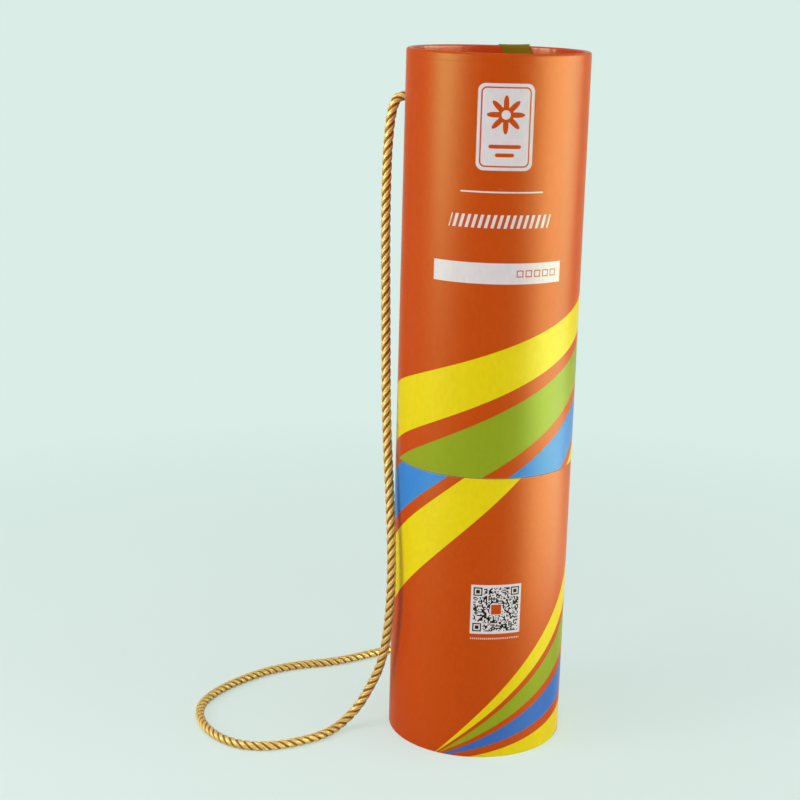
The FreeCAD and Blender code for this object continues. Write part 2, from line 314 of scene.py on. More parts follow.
def paint_rosette(graph, ground, across, height):
    """Plain orange petals round a white eye."""
    right = graph.math("SUBTRACT", across, PANEL_MIDDLE)
    up = graph.math("SUBTRACT", height, ROSETTE_LEVEL)
    distance = graph.length(right, up)
    wave = graph.math("COSINE", graph.math("MULTIPLY", graph.math("ARCTAN2", up, right), PETALS))
    petals = ink(graph, graph.math("SUBTRACT", graph.scaled(wave, PETAL_WAVE, PETAL_MIDDLE), distance))
    eye = ink(graph, graph.math("SUBTRACT", EYE_RADIUS, distance))
    return graph.mix(eye, graph.mix(petals, ground, ORANGE), WHITE)


def paint_squares(graph, ground, across, height):
    for middle in SQUARE_MIDDLES:
        outside = block(graph, across, height, middle, SQUARE_LEVEL, SQUARE_OUTSIDE, SQUARE_OUTSIDE)
        inside = block(graph, across, height, middle, SQUARE_LEVEL, SQUARE_INSIDE, SQUARE_INSIDE)
        ground = graph.mix(graph.math("SUBTRACT", outside, inside), ground, ORANGE)
    return ground


def paint_strokes(graph, ground, across, height, row, pitch, stroke, slant):
    """A row of short slanted white strokes."""
    level = row[1]
    slanted = graph.math("SUBTRACT", across, graph.scaled(height, slant, -slant * level))
    in_pitch = graph.math("MULTIPLY", graph.math("FRACT", graph.math("DIVIDE", slanted, pitch)), pitch)
    strokes = ink(graph, graph.math("SUBTRACT", stroke, in_pitch))
    inside = block(graph, slanted, height, *row)
    return graph.mix(graph.math("MULTIPLY", strokes, inside), ground, WHITE)


def paint_lid_marks(graph, ground, across, height):
    ground = paint_blocks(graph, ground, across, height, LID_BLOCKS)
    ground = paint_squares(graph, ground, across, height)
    ground = paint_rosette(graph, ground, across, height)
    return paint_strokes(graph, ground, across, height, *LID_STROKES)


SPECKLE_MIDDLE, SPECKLE_LEVEL = 10.6, 89.4
CELL = 0.7
CELLS = 37              # cells along a side of the speckle
SPECKLE_SIDE = CELLS * CELL
SPECKLE_TRIM = 0.15     # taken off its width and height, so that no sliver of another cell shows
DARK_SHARE = 0.5        # of the cells
CORNERS = (-1, 1), (1, 1), (-1, -1)
CORNER_SQUARES = ((9.2, WHITE), (7, CHARCOAL), (5, WHITE), (3, CHARCOAL))       # sides in cells
CORNER_CELLS = 7

# Blocks under and over the speckle, and the row of tiny strokes below it.
SPECKLE_GROUND = [(WHITE, SPECKLE_MIDDLE, SPECKLE_LEVEL, 28.6, 28.8, 0.0)]
SPECKLE_BADGE = [
    (WHITE, SPECKLE_MIDDLE, SPECKLE_LEVEL, 6.8, 6.8, 0.8),
    (ORANGE, SPECKLE_MIDDLE, SPECKLE_LEVEL, 5.8, 5.8, 0.6),
]
BASE_STROKES = (SPECKLE_MIDDLE, 72.2, 27.8, 0.9), 1.1, 0.55, 0.0


def paint_speckle(graph, ground, across, height):
    """A square field of small dark cells at random, which stands for no code."""
    left, foot = SPECKLE_MIDDLE - SPECKLE_SIDE / 2, SPECKLE_LEVEL - SPECKLE_SIDE / 2
    column = graph.math("FLOOR", graph.scaled(across, 1 / CELL, -left / CELL))
    row = graph.math("FLOOR", graph.scaled(height, 1 / CELL, -foot / CELL))
    cells = graph.add("CombineXYZ", {0: column, 1: row}).outputs[0]
    chance = graph.add("TexWhiteNoise", {"Vector": cells}, noise_dimensions="2D").outputs["Value"]
    dark = graph.math("GREATER_THAN", chance, 1 - DARK_SHARE)
    side = SPECKLE_SIDE - SPECKLE_TRIM
    field = block(graph, across, height, SPECKLE_MIDDLE, SPECKLE_LEVEL, side, side)
    return graph.mix(graph.math("MULTIPLY", dark, field), ground, CHARCOAL)


def paint_corners(graph, ground, across, height):
    """Plain squares one inside the other, in three corners of the speckle."""
    reach = (SPECKLE_SIDE - CORNER_CELLS * CELL) / 2
    for side, up in CORNERS:
        for cells, colour in CORNER_SQUARES:
            middle, level = SPECKLE_MIDDLE + side * reach, SPECKLE_LEVEL + up * reach
            square = block(graph, across, height, middle, level, cells * CELL, cells * CELL)
            ground = graph.mix(square, ground, colour)
    return ground


def paint_base_marks(graph, ground, across, height):
    """A white square with a plain speckle and an orange middle, and a row of tiny strokes under it."""
    ground = paint_blocks(graph, ground, across, height, SPECKLE_GROUND)
    ground = paint_speckle(graph, ground, across, height)
    ground = paint_corners(graph, ground, across, height)
    ground = paint_blocks(graph, ground, across, height, SPECKLE_BADGE)
    return paint_strokes(graph, ground, across, height, *BASE_STROKES)


TONE_LOWEST, TONE_SPREAD = 0.92, 0.16
SEAM_SHADE_REACH, SEAM_SHADE_SHARE = 0.2, 0.6             # painted shade in the seam: mm from the seam, and how much of the print it hides
# Painted highlight along the seam: mm from it, and how far the print goes towards the pale colour.
SEAM_HIGHLIGHT_REACH, SEAM_HIGHLIGHT_SHARE = 0.45, 0.3
SCRATCH_LIMIT, SCRATCH_SHARE = 0.78, 0.2        # noise above which there is a scratch, and its paleness
SCRATCH_LEAN = (0.5, 0.3, 0.9)                  # radians
SCRATCH_SCALE = (40, 1500, 1500)                # long one way and fine across it


def wear_and_seam_light(graph, printed, height):
    """Print a little uneven in tone, a few fine scratches, and painted highlight and shade at the seam."""
    tone = graph.scaled(graph.noise(45.0, 3.0), TONE_SPREAD, TONE_LOWEST)
    uneven = graph.add("HueSaturation", {"Color": printed, "Value": tone}).outputs[0]
    from_seam = graph.gap(height, SEAM)
    # Painted shade: a dark line in the seam.
    seam_shade = graph.scaled(ink(graph, graph.math("SUBTRACT", SEAM_SHADE_REACH, from_seam)), SEAM_SHADE_SHARE)
    # Painted highlight: a pale line along the edge at the seam.
    seam_highlight = graph.scaled(ink(graph, graph.math("SUBTRACT", SEAM_HIGHLIGHT_REACH, from_seam)), SEAM_HIGHLIGHT_SHARE)
    place = graph.add("TexCoord").outputs["Object"]
    leaning = graph.add("Mapping", {"Vector": place, "Rotation": SCRATCH_LEAN, "Scale": SCRATCH_SCALE})
    scratches = graph.math("GREATER_THAN", graph.noise(1.0, 1.0, leaning.outputs[0]), SCRATCH_LIMIT)
    scratches_and_highlight = graph.math("MAXIMUM", seam_highlight, graph.scaled(scratches, SCRATCH_SHARE))
    return graph.mix(seam_shade, graph.mix(scratches_and_highlight, uneven, PALE_WEAR_AND_HIGHLIGHT), SEAM_SHADE)


def paint_ribbons(graph, ribbons, azimuth, height, turn):
    """Both passes of the front by the ribbons, with the whole print turned by `turn` degrees."""
    along = graph.math("WRAP", graph.math("SUBTRACT", azimuth, turn), -180.0, 180.0)
    colour = ORANGE
    for winding in (0.0, 360.0):
        inputs = {"Ground": colour, "Along": graph.math("ADD", along, winding), "Height": height}
        colour = graph.add("Group", inputs, node_tree=ribbons).outputs["Printed"]
    return colour


# The laminate's specular level falls from full to least while Facing goes from the first value to the
# second: where the wall turns away, a soft sheen takes the place of the gloss.
GLOSS_FULL, GLOSS_LEAST = 0.18, 0.03
GLOSS_FACING = 0.2, 0.62


def make_print(name, ribbons, turn, paint_marks):
    """Laminated print: the ribbons, turned by `turn` degrees, under the marks of one half of the box."""
    material, graph, shader = new_material(
        name, Roughness=0.42, Specular_Tint=LAMINATE_TINT,
        Sheen_Weight=0.6, Sheen_Roughness=0.24, Sheen_Tint=SHEEN_TINT
    )
    facing = graph.add("LayerWeight", {"Blend": 0.5}).outputs["Facing"]
    gloss = graph.ramp(facing, *GLOSS_FACING, GLOSS_FULL, GLOSS_LEAST)
    azimuth, height = graph.tube_place()
    across = graph.math("MULTIPLY", graph.math("RADIANS", azimuth), RADIUS)
    printed = paint_ribbons(graph, ribbons, azimuth, height, turn)
    printed = paint_marks(graph, printed, across, height)
    grain = graph.noise(1800.0, 3.0)
    dents = graph.noise(90.0, 1.0)
    graph.put(shader.inputs["Base Color"], wear_and_seam_light(graph, printed, height))
    graph.put(shader.inputs["Specular IOR Level"], gloss)
    graph.put(shader.inputs["Normal"], graph.bump(graph.scaled(dents, 2.5, grain), 0.02))
    return material


# ---------- Other materials ----------


def make_turned_in_paper():
    """The print's orange edge, turned in over the rim: glossier, and pleated where it was pressed round."""
    material, graph, shader = new_material("turned_in_paper", Roughness=0.3, Specular_IOR_Level=0.22)
    place = graph.add("TexCoord").outputs["Object"]
    upright = graph.add("Mapping", {"Vector": place, "Scale": (1.0, 1.0, 0.3)}).outputs[0]
    pleats = graph.noise(190.0, 2.0, upright)
    graph.put(shader.inputs["Base Color"], graph.mix(pleats, EDGE_RED, EDGE_ORANGE))
    graph.put(shader.inputs["Normal"], graph.bump(pleats, 0.25))
    return material


SPIRAL_LEAD = 72.0          # mm that the board's joint rises in a turn
SPIRAL_JOINT = 0.648        # mm, height of the joint's line


def make_board():
    """Wound grey board with its spiral joint and fibre flecks."""
    material, graph, shader = new_material("board", Roughness=0.85, Specular_IOR_Level=0.2)
    azimuth, height = graph.tube_place()
    risen = graph.scaled(azimuth, SPIRAL_LEAD / 360, height)
    spiral = graph.math("FRACT", graph.math("DIVIDE", risen, SPIRAL_LEAD))
    joint = graph.math("LESS_THAN", spiral, SPIRAL_JOINT / SPIRAL_LEAD)
    fleck = graph.noise(900.0, 4.0)
    colour = graph.mix(fleck, BOARD_FLECK, BOARD)
    graph.put(shader.inputs["Base Color"], graph.mix(joint, colour, BOARD_JOINT))
    relief = graph.math("SUBTRACT", fleck, joint)
    graph.put(shader.inputs["Normal"], graph.bump(relief, 0.12))
    return material


def make_shaded_green_paper():
    """The strip over the rim: the print's green paper, painted olive as shade and orange reflection."""
    material, graph, shader = new_material("shaded_green_paper", Roughness=0.5, Specular_IOR_Level=0.06)
    tone = graph.noise(400.0, 3.0)
    graph.put(shader.inputs["Base Color"], graph.mix(tone, GREEN_IN_SHADE, GREEN_IN_SHADE_DARK))
    graph.put(shader.inputs["Normal"], graph.bump(tone, 0.05))
    return material


def make_cut_edge():
    """The strip's cut edge, paler than its face."""
    material, graph, shader = new_material("cut_edge", Roughness=0.8)
    tone = graph.noise(900.0)
    graph.put(shader.inputs["Base Color"], graph.mix(tone, CUT_DARK, CUT_PALE))
    return material


FILAMENT_HIGHLIGHT = 0.7        # how far the filaments go towards the painted highlight, outside the grooves
THREAD_SPECULAR = 0.35


def make_gold_thread():
    """Lustrous thread: fine filaments run along each strand; highlights and groove shade are painted."""
    material, graph, shader = new_material("gold_thread", Metallic=0.14, Roughness=0.48)
    depth = graph.add("Attribute", attribute_name="depth").outputs["Fac"]
    thread = graph.add("Attribute", attribute_name="thread").outputs["Vector"]
    filament = graph.noise(9.0, 2.0, thread)
    colour = graph.mix(depth, GOLD, GOLD_SHADE)
    painted_highlight = graph.math("MULTIPLY", filament, graph.scaled(depth, -FILAMENT_HIGHLIGHT, FILAMENT_HIGHLIGHT))
    graph.put(shader.inputs["Base Color"], graph.mix(painted_highlight, colour, GOLD_HIGHLIGHT))
    specular = graph.scaled(depth, -THREAD_SPECULAR, THREAD_SPECULAR)
    graph.put(shader.inputs["Specular IOR Level"], specular)
    graph.put(shader.inputs["Normal"], graph.bump(filament, 0.1))
    return material


# ---------- Meshes ----------


def unit(vectors):
    """The vectors at a length of 1."""
    return vectors / np.linalg.norm(vectors, axis=-1, keepdims=True)


SHARP_ANGLE = 40.0          # degrees between faces above which an edge stays sharp
ROPE_SHARP_ANGLE = 80.0


def add_object(name, mesh, sharp_angle=SHARP_ANGLE):
    """A smooth-shaded object in the scene."""
    mesh.polygons.foreach_set("use_smooth", [True] * len(mesh.polygons))
    mesh.set_sharp_from_angle(angle=math.radians(sharp_angle))
    piece = bpy.data.objects.new(name, mesh)
    bpy.context.scene.collection.objects.link(piece)
    return piece


def new_piece(name, vertices, faces, materials, face_materials=None, sharp_angle=SHARP_ANGLE):
    mesh = bpy.data.meshes.new(name)
    mesh.from_pydata(vertices, [], faces)
    for material in materials:
        mesh.materials.append(material)
    if face_materials is not None:
        mesh.polygons.foreach_set("material_index", face_materials)
    return add_object(name, mesh, sharp_angle)


ROUNDING_STEPS = 6
AZIMUTH_STEP = 1.5          # degrees


def soften(corners):
    """Round the corners of a closed outline. A corner is (radius, height, rounding, its side's slot)."""
    outline = []
    for number, (radius, height, rounding, side) in enumerate(corners):
        corner = Vector((radius, height))
        if rounding == 0:
            outline.append((corner, side))
            continue
        before = (Vector(corners[number - 1][:2]) - corner).normalized()
        after = (Vector(corners[(number + 1) % len(corners)][:2]) - corner).normalized()
        half = before.angle(after) / 2
        reach = rounding / math.tan(half)
        centre = corner + (before + after).normalized() * rounding / math.sin(half)
        start = corner + before * reach - centre
        end = corner + after * reach - centre
        for step in range(ROUNDING_STEPS + 1):
            outline.append((centre + start.slerp(end, step / ROUNDING_STEPS) * rounding, side))
    return outline


def turned_faces(outline, columns):
    """Faces between the columns of a turned ring, and the material slot of each."""
    rows = len(outline)
    faces, sides = [], []
    for column in range(columns):
        here, after = column * rows, (column + 1) % columns * rows
        for row in range(rows):
            above = (row + 1) % rows
            faces.append((here + row, after + row, after + above, here + above))
            sides.append(outline[row][1])
    return faces, sides


def turned_piece(name, corners, materials, shape, extra_azimuths):
    """A ring turned about Z from an outline in millimetres. `shape` gives the radius at an azimuth."""
    outline = soften(corners)
    azimuths = sorted(set(np.arange(-180.0, 180.0, AZIMUTH_STEP)) | set(extra_azimuths))
    vertices = []
    for azimuth in azimuths:
        angle = math.radians(azimuth)
        for point, _ in outline:
            radius = shape(azimuth, point.x, point.y)
            vertices.append((radius * math.sin(angle) * MM, -radius * math.cos(angle) * MM, point.y * MM))
    faces, sides = turned_faces(outline, len(azimuths))
    return new_piece(name, vertices, faces, materials, sides)


PUNCH_LENGTH = 16.0         # mm, long enough to go through the wall
PUNCH_DEPTH = 3.0           # mm from the tube's outside in to the punch's middle
PUNCH_SIDES = 48


def make_punch(azimuth, height, diameter, materials, side):
    """A round bar that stands through the wall at one azimuth, with the tube's material slots."""
    mesh = bpy.data.meshes.new("punch")
    form = bmesh.new()
    radius = diameter / 2 * MM
    bmesh.ops.create_cone(form, cap_ends=True, segments=PUNCH_SIDES, radius1=radius, radius2=radius,
                          depth=PUNCH_LENGTH * MM)
    form.to_mesh(mesh)
    form.free()
    for material in materials:
        mesh.materials.append(material)
    mesh.polygons.foreach_set("material_index", [side] * len(mesh.polygons))
    bar = bpy.data.objects.new("punch", mesh)
    bpy.context.scene.collection.objects.link(bar)
    outward = Matrix.Translation((0, -(RADIUS - PUNCH_DEPTH) * MM, height * MM))
    level = Matrix.Rotation(math.pi / 2, 4, "X")
    bar.matrix_world = Matrix.Rotation(math.radians(azimuth), 4, "Z") @ outward @ level
    return bar


def punch_hole(piece, azimuth, height, diameter, side):
    """Cut a round hole through the wall at one azimuth. The hole's own wall takes material slot `side`."""
    cutter = make_punch(azimuth, height, diameter, piece.data.materials, side)
    modifier = piece.modifiers.new("punch", "BOOLEAN")
    modifier.object = cutter
    modifier.operation = "DIFFERENCE"
    modifier.solver = "EXACT"
    bpy.context.view_layer.update()
    evaluated = piece.evaluated_get(bpy.context.evaluated_depsgraph_get())
    punched = bpy.data.meshes.new_from_object(evaluated)
    piece.modifiers.clear()
    piece.data = punched
    punched.set_sharp_from_angle(angle=math.radians(SHARP_ANGLE))
    bpy.data.objects.remove(cutter)


# ---------- Tubes and the paper strip ----------

PRINT, TURNED_IN, PLAIN = 0, 1, 2       # material slots of a printed tube
LID_HOLE_LEVEL = 366.0
BASE_HOLE_LEVEL = 26.0
HOLE_MARGIN = 6.0                       # mm above and below a hole's middle to the next row of corners
HOLE_DIAMETER = 6.8
RIM_OUTSIDE, RIM_INSIDE = 1.6, 1.1      # roundings of the lid's rim
GROOVE_BELOW_TOP = 5.0                  # a faint line pressed round the lid under its rim
GROOVE_HALF, GROOVE_DEPTH = 0.6, 0.05
TURN_IN = 3.0                           # mm above the lid's disc where the turned-in paper ends
LAP_WIDTH = 9.0                         # degrees over which the wrap climbs onto its own other end
LAP_RISE = 0.16                         # mm, the thickness of the printed paper
LAP_DROP = 0.05                         # degrees within which it drops again
WRAP_ONLY = 0.2                         # mm in from the outside that the lap moves
PRINTED_EDGE = 0.5                      # mm of the base's top edge that the print covers
CREASE_DEPTH = 0.07                     # mm, of the pleats in the turned-in paper
CREASES_WIDE, CREASES_FINE = 47, 83     # in a turn
CREASE_SWAYS = 5                        # in a turn, where the wide pleats crowd together
CREASE_MARGIN = 0.5                     # mm above the disc and out from the bore, where the pleats end


def lapped(seam_azimuth, azimuth, radius):
    """Radius with the printed wrap's overlap: a slow rise up to the seam, then a sharp step down."""
    before_seam = (seam_azimuth - azimuth) % 360
    if radius < RADIUS - WRAP_ONLY or before_seam > LAP_WIDTH:
        return radius
    return radius + LAP_RISE * (1 - before_seam / LAP_WIDTH)


def creased(azimuth, radius):
    """Radius with the pleats of the paper turned in over the lid's rim."""
    angle = math.radians(azimuth)
    wide = math.sin(CREASES_WIDE * angle + 2 * math.sin(CREASE_SWAYS * angle))
    return radius - CREASE_DEPTH * (wide + math.sin(CREASES_FINE * angle))


def make_lid_tube(materials):
    wrap_seam = LID_TURN - 180

    def shape(azimuth, radius, height):
        if height > LID_DISC_TOP + CREASE_MARGIN and radius < LID_BORE + CREASE_MARGIN:
            return creased(azimuth, radius)
        return lapped(wrap_seam, azimuth, radius)

    groove = TOP - GROOVE_BELOW_TOP
    corners = [
        (RADIUS, SEAM, 0.35, PRINT),
        (RADIUS, LID_HOLE_LEVEL - HOLE_MARGIN, 0, PRINT),
        (RADIUS, LID_HOLE_LEVEL + HOLE_MARGIN, 0, PRINT),
        (RADIUS, groove - GROOVE_HALF, 0.4, PRINT),
        (RADIUS - GROOVE_DEPTH, groove, 0.3, PRINT),
        (RADIUS, groove + GROOVE_HALF, 0.4, PRINT),
        (RADIUS, TOP, RIM_OUTSIDE, PRINT),
        (LID_BORE, TOP, RIM_INSIDE, TURNED_IN),
        (LID_BORE, LID_DISC_TOP + TURN_IN, 0, TURNED_IN),
        (LID_BORE, LID_DISC_TOP, 0, PLAIN),
        (LID_BORE, LID_HOLE_LEVEL + HOLE_MARGIN, 0, PLAIN),
        (LID_BORE, LID_HOLE_LEVEL - HOLE_MARGIN, 0, PLAIN),
        (LID_BORE, SEAM, 0.3, PLAIN),
    ]
    tube = turned_piece("lid_tube_printed", corners, materials, shape, [wrap_seam, wrap_seam + LAP_DROP])
    punch_hole(tube, -90, LID_HOLE_LEVEL, HOLE_DIAMETER, PLAIN)
    return tube


def make_base_tube(materials):
    def shape(azimuth, radius, height):
        return lapped(180, azimuth, radius)

    corners = [
        (RADIUS, 0, 1.0, PRINT),
        (RADIUS, BASE_HOLE_LEVEL - HOLE_MARGIN, 0, PRINT),
        (RADIUS, BASE_HOLE_LEVEL + HOLE_MARGIN, 0, PRINT),
        (RADIUS, SEAM, 0.35, PRINT),
        (RADIUS - PRINTED_EDGE, SEAM, 0, PLAIN),
        (BASE_BORE, SEAM, 0.2, PLAIN),
        (BASE_BORE, BASE_HOLE_LEVEL + HOLE_MARGIN, 0, PLAIN),
        (BASE_BORE, BASE_HOLE_LEVEL - HOLE_MARGIN, 0, PLAIN),
        (BASE_BORE, 0, 0.7, TURNED_IN),
    ]
    tube = turned_piece("base_tube_printed", corners, materials, shape, [180 - LAP_DROP])
    punch_hole(tube, 180, BASE_HOLE_LEVEL, HOLE_DIAMETER, PLAIN)
    return tube


TAB_WIDTH = 18.0
TAB_THICKNESS = 0.45
TAB_INSIDE, TAB_OUTSIDE = 5.0, 12.0     # mm that the strip reaches down inside and outside the rim
TAB_SLANT = 28.0                        # degrees that it leans, so that its inside end is nearer +X
TAB_BEARING = 11.0                      # degrees from the back of the lid towards +X
TAB_LIFT = 1.0                          # mm that its +X edge stands off the rim
TAB_GAP = 0.06                          # mm between the strip and the tube elsewhere
LOOSE_MIDDLE, LOOSE_REACH = 1.5, 2.2    # mm along the strip from the rim's inner edge, where it is loose
LOOSE_FROM, LOOSE_CURL = -0.2, 1.5      # share of its width where that begins, and the power it curls up by
TAB_COLUMNS = 15
INSIDE_ROWS, RIM_STEPS, OUTSIDE_ROWS = 6, 5, 10


def rim_path():
    """The way over the lid's rim from the inside to the outside, as (radius, height) in millimetres."""
    path = [(LID_BORE, TOP - reach) for reach in np.linspace(TAB_INSIDE, RIM_INSIDE, INSIDE_ROWS)]
    for angle in np.linspace(0, math.pi / 2, RIM_STEPS + 1)[1:]:
        across, down = RIM_INSIDE * (1 - math.cos(angle)), RIM_INSIDE * (1 - math.sin(angle))
        path.append((LID_BORE + across, TOP - down))
    for angle in np.linspace(0, math.pi / 2, RIM_STEPS + 1):
        across, down = RIM_OUTSIDE * (1 - math.sin(angle)), RIM_OUTSIDE * (1 - math.cos(angle))
        path.append((RADIUS - across, TOP - down))
    path += [(RADIUS, TOP - reach) for reach in np.linspace(RIM_OUTSIDE, TAB_OUTSIDE, OUTSIDE_ROWS)[1:]]
    return np.array(path)


def tab_rows():
    """Places across the strip's outer face, in metres, for each step of the way over the rim."""
    path = rim_path()
    steps = np.linalg.norm(np.diff(path, axis=0), axis=1)
    reach = np.concatenate([[0], np.cumsum(steps)]) - TAB_INSIDE
    outward = unit(np.gradient(path, axis=0)) @ np.array([[0, 1], [-1, 0]])
    rows = []
    for (radius, height), along, out in zip(path, reach, outward):
        on_top = math.exp(-((along - LOOSE_MIDDLE) / LOOSE_REACH) ** 2)
        row = []
        for share in np.linspace(-0.5, 0.5, TAB_COLUMNS):
            loose = TAB_LIFT * on_top * max(0.0, share - LOOSE_FROM) ** LOOSE_CURL
            lift = TAB_GAP + TAB_THICKNESS + loose
            across = share * TAB_WIDTH - along * math.tan(math.radians(TAB_SLANT))
            bearing = math.radians(TAB_BEARING) + across / RADIUS
            lifted = radius + out[0] * lift
            place = (lifted * math.sin(bearing), lifted * math.cos(bearing), height + out[1] * lift)
            row.append(Vector(place) * MM)
        rows.append(row)
    return rows


def make_rim_tab(paper, cut_edge):
    """A strip of paper stuck over the rim, a little loose on top towards its +X edge."""
    form = bmesh.new()
    grid = [[form.verts.new(place) for place in row] for row in tab_rows()]
    for row, next_row in zip(grid, grid[1:]):
        for corner in range(TAB_COLUMNS - 1):
            form.faces.new((row[corner], row[corner + 1], next_row[corner + 1], next_row[corner]))
    bmesh.ops.recalc_face_normals(form, faces=form.faces)
    bmesh.ops.solidify(form, geom=form.faces[:], thickness=TAB_THICKNESS * MM)
    mesh = bpy.data.meshes.new("rim_tab_paper")
    form.to_mesh(mesh)
    form.free()
    mesh.materials.append(paper)
    mesh.materials.append(cut_edge)
    return add_object("rim_tab_paper", mesh)


# ---------- Rope ----------

# The rope's route: out of the lid, down past the base, round the loop on the floor and in at the base's
# back.
ROPE_ROUTE = [
    (-0.0467, 0.0, 0.366), (-0.0534, 0.0, 0.366), (-0.0565, 0.0, 0.3602), (-0.0582, -0.0004, 0.349),
    (-0.0591, -0.001, 0.328), (-0.0589, -0.0015, 0.292), (-0.0574, -0.003, 0.24), (-0.0553, -0.011, 0.185),
    (-0.0516, -0.0197, 0.142), (-0.0493, -0.0268, 0.11), (-0.0494, -0.0274, 0.082),
    (-0.0513, -0.0245, 0.058), (-0.0553, -0.0195, 0.0385), (-0.0608, -0.0154, 0.025),
    (-0.0668, -0.0156, 0.0133), (-0.0728, -0.0185, 0.0068), (-0.0794, -0.0257, 0.00275),
    (-0.086, -0.036, 0.00275), (-0.0985, -0.0461, 0.00275), (-0.113, -0.0537, 0.00275),
    (-0.128, -0.0551, 0.00275), (-0.1417, -0.0485, 0.00275), (-0.1528, -0.0365, 0.00275),
    (-0.1603, -0.0212, 0.00275), (-0.1628, -0.0045, 0.00275), (-0.159, 0.0115, 0.00275),
    (-0.1505, 0.0275, 0.00275), (-0.1395, 0.042, 0.00275), (-0.1265, 0.055, 0.00275),
    (-0.11, 0.0648, 0.00275), (-0.0915, 0.0706, 0.00275), (-0.0745, 0.082, 0.00275),
    (-0.0565, 0.096, 0.00275), (-0.036, 0.109, 0.00275), (-0.021, 0.111, 0.00275),
    (-0.008, 0.1045, 0.00275), (0.0, 0.092, 0.00275), (0.001, 0.079, 0.0045), (0.0005, 0.0695, 0.0115),
    (0.0, 0.062, 0.02), (0.0, 0.0542, 0.026), (0.0, 0.0444, 0.026),
]
STRANDS = 3
# The length in which a strand goes once round, at two distances along the rope from the lid. The rope is
# laid up tighter where it bends on the floor.
LAY_DISTANCES, LAY_PITCHES = (0.36, 0.46), (0.0173, 0.0140)
STRAND_CENTRE = 0.0015      # from the rope's line to a strand's own line
STRAND_DEEP = 0.00125       # half size of a strand's section across the rope
STRAND_WIDE = 0.0015        # half size of the section round the rope, where the strands press on each other
PLIES = 6                   # rounded ribs round each strand
PLY_DEPTH = 0.24            # depth of the groove between plies, as a share of the strand's size
PLY_SHADE = 0.2             # how dark the painted shade in that groove is
GAP_BEGINS = 0.68           # cosine of the angle round a strand at which the painted shade of the gap to the next begins
GAP_FADE = 0.5              # further fall of the cosine over which it gets fully dark
THREAD_STRETCH = 0.012      # along the rope, over which the filament pattern changes
SPLINE_STEPS = 40           # between two control points
RING_STEP = 0.00075
RING_POINTS = 24


def read_spline(points):
    """Points along the NURBS spline whose control points are the rope's route."""
    curve = bpy.data.curves.new("rope_route", "CURVE")
    curve.dimensions = "3D"
    curve.resolution_u = SPLINE_STEPS
    spline = curve.splines.new("NURBS")
    spline.points.add(len(points) - 1)
    for point, place in zip(spline.points, points):
        point.co = (*place, 1.0)
    spline.order_u = 3
    spline.use_endpoint_u = True
    holder = bpy.data.objects.new("rope_route", curve)
    mesh = bpy.data.meshes.new_from_object(holder)
    line = np.array([vertex.co for vertex in mesh.vertices])
    bpy.data.objects.remove(holder)
    return line


def even_line(line, step):
    """The line again in nearly equal steps, with each point's distance along it."""
    gaps = np.linalg.norm(np.diff(line, axis=0), axis=1)
    reached = np.concatenate([[0], np.cumsum(gaps)])
    along = np.linspace(0, reached[-1], round(reached[-1] / step) + 1)
    even = np.column_stack([np.interp(along, reached, line[:, axis]) for axis in range(3)])
    return even, along


FIRST_SIDE = (0.3, 0.9, 0.1)        # any direction that isn't along the first tangent


def carried_sides(tangents):
    """Two directions across the line at each point, carried along it without twist."""
    side = np.cross(tangents[0], FIRST_SIDE)
    sides = []
    for tangent in tangents:
        side = unit(side - tangent * (side @ tangent))
        sides.append(side)
    sides = np.array(sides)
    return sides, np.cross(tangents, sides)


def strand_frames(line, along, start_turn):
    """A strand's own line, and two directions at each point of it: up out of the rope, and across."""
    sides, others = carried_sides(unit(np.gradient(line, axis=0)))
    turns = np.cumsum(np.gradient(along) / np.interp(along, LAY_DISTANCES, LAY_PITCHES))
    turn = 2 * math.pi * (turns + start_turn)[:, None]
    outward = sides * np.cos(turn) + others * np.sin(turn)
    centres = line + outward * STRAND_CENTRE
    tangents = unit(np.gradient(centres, axis=0))
    up = unit(outward - tangents * np.sum(outward * tangents, axis=1)[:, None])
    return centres, up, np.cross(tangents, up)


def strand_section(around):
    """A strand's section at the angles `around` it: each point's way up and across, and its depth in the
    grooves from 0 to 1."""
    groove = 1 - np.abs(np.sin(PLIES * around / 2))
    size = 1 - PLY_DEPTH * groove ** 2
    between_strands = np.clip((GAP_BEGINS - np.cos(around)) / GAP_FADE, 0, 1)
    depth = np.clip(PLY_SHADE * groove + between_strands, 0, 1)
    return STRAND_DEEP * size * np.cos(around), STRAND_WIDE * size * np.sin(around), depth


def strand_rings(line, along, strand):
    """Rings of one strand as an array of points, each point's depth in the grooves, and its place on the
    strand for the filament pattern."""
    centres, up, across = strand_frames(line, along, strand / STRANDS)
    around = np.linspace(0, 2 * math.pi, RING_POINTS, endpoint=False)
    deep, wide, depth = strand_section(around)
    rings = centres[:, None] + up[:, None] * deep[:, None] + across[:, None] * wide[:, None]
    thread = np.empty(rings.shape)
    thread[:, :, 0] = np.cos(around)
    thread[:, :, 1] = np.sin(around)
    thread[:, :, 2] = along[:, None] / THREAD_STRETCH + strand
    return rings, np.tile(depth, len(rings)), thread


def closed_tube_faces(rings, first):
    """Faces of a tube of rings, with a cap at each end. `first` is the number of its first point."""
    faces = []
    last = first + (rings - 1) * RING_POINTS
    for ring in range(first, last, RING_POINTS):
        next_ring = ring + RING_POINTS
        for point in range(RING_POINTS):
            after = (point + 1) % RING_POINTS
            faces.append((ring + point, ring + after, next_ring + after, next_ring + point))
    faces.append(tuple(first + point for point in reversed(range(RING_POINTS))))
    faces.append(tuple(last + point for point in range(RING_POINTS)))
    return faces


